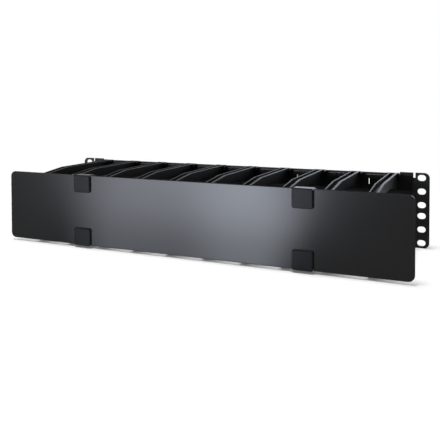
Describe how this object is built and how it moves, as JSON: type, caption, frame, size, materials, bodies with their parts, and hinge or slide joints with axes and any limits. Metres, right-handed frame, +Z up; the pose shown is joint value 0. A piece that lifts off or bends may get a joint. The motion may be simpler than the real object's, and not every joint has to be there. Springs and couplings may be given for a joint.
{
  "type": "horizontal cable manager",
  "caption": "Rack-mount horizontal cable manager: a slotted panel with two rows of cable fingers and a flat cover that swings up on clips.",
  "frame": {"origin": "centre of the mounting slots, on the front face of the back panel", "axes": "+X to the right along the rack as seen from the front, +Y into the rack, +Z up"},
  "size_m": [0.4826, 0.1584, 0.0882],
  "materials": {
    "panel_paint": "satin powder coat",
    "cover_paint": "satin paint",
    "finger_plastic": "fine moulded grain",
    "clip_plastic": "satin moulded",
    "rod_steel": "plain drawn"
  },
  "bodies": {
    "frame": {"back_panel": "panel_paint", "finger_bottom_01": "finger_plastic", "finger_bottom_02": "finger_plastic", "finger_bottom_03": "finger_plastic", "finger_bottom_04": "finger_plastic", "finger_bottom_05": "finger_plastic", "finger_bottom_06": "finger_plastic", "finger_bottom_07": "finger_plastic", "finger_bottom_08": "finger_plastic", "finger_bottom_09": "finger_plastic", "finger_bottom_10": "finger_plastic", "finger_top_01": "finger_plastic", "finger_top_02": "finger_plastic", "finger_top_03": "finger_plastic", "finger_top_04": "finger_plastic", "finger_top_05": "finger_plastic", "finger_top_06": "finger_plastic", "finger_top_07": "finger_plastic", "finger_top_08": "finger_plastic", "finger_top_09": "finger_plastic", "finger_top_10": "finger_plastic", "hinge_rod_bottom_left": "rod_steel", "hinge_rod_bottom_right": "rod_steel", "hinge_rod_top_left": "rod_steel", "hinge_rod_top_right": "rod_steel"},
    "cover": {"cover_clip_bottom_left": "clip_plastic", "cover_clip_bottom_right": "clip_plastic", "cover_clip_top_left": "clip_plastic", "cover_clip_top_right": "clip_plastic", "cover_plate": "cover_paint"}
  },
  "joints": [
    {"name": "cover_hinge", "type": "hinge", "parent": "frame", "child": "cover", "pos_m": [0, -0.14, 0.03462], "axis": [-1, 0, 0], "range_deg": [0, 110]}
  ]
}
